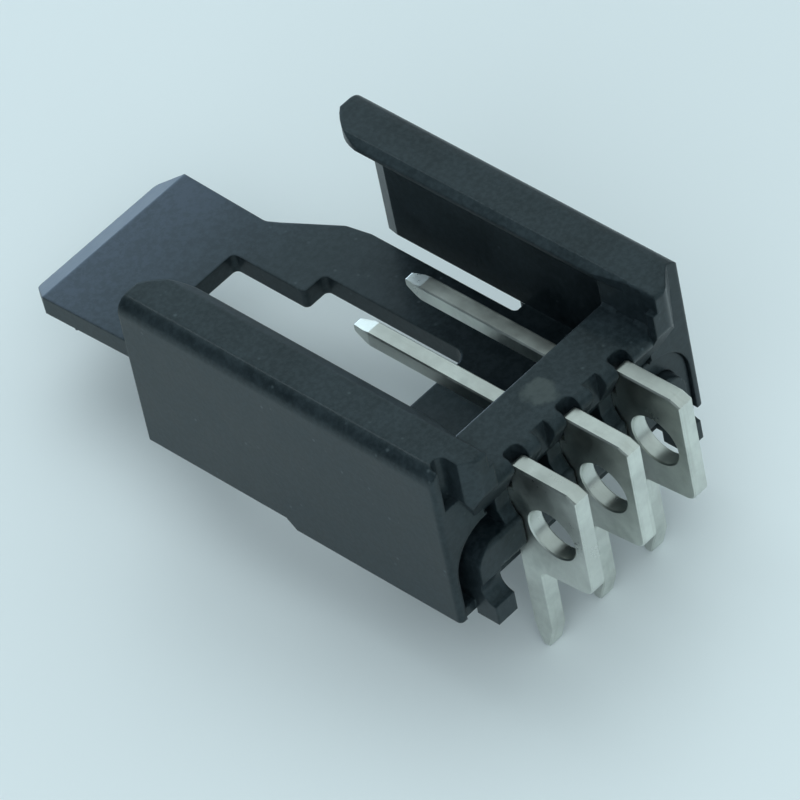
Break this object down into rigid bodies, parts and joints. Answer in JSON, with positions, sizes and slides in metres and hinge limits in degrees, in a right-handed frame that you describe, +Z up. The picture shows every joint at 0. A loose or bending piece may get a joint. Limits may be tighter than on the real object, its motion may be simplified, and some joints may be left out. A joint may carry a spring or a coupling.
{
  "type": "right-angle pin header",
  "caption": "Right-angle board header: open moulded housing with lipped side walls and a windowed latch tongue, square mating blades, and pierced lobes ending in solder tails.",
  "frame": {"origin": "centre of the middle solder tail, on the plane of the two feet that stand on the board", "axes": "+X across the row of terminals, -Y out of the mating side, +Z up from the board"},
  "size_m": [0.012, 0.0254, 0.0106],
  "materials": {
    "housing_plastic": "matt, glass-filled, faintly speckled",
    "tinned_metal": "bright tin plate with satin stamped faces"
  },
  "bodies": {
    "root": {"housing": "housing_plastic", "terminal_1": "tinned_metal", "terminal_2": "tinned_metal", "terminal_3": "tinned_metal"}
  },
  "joints": []
}
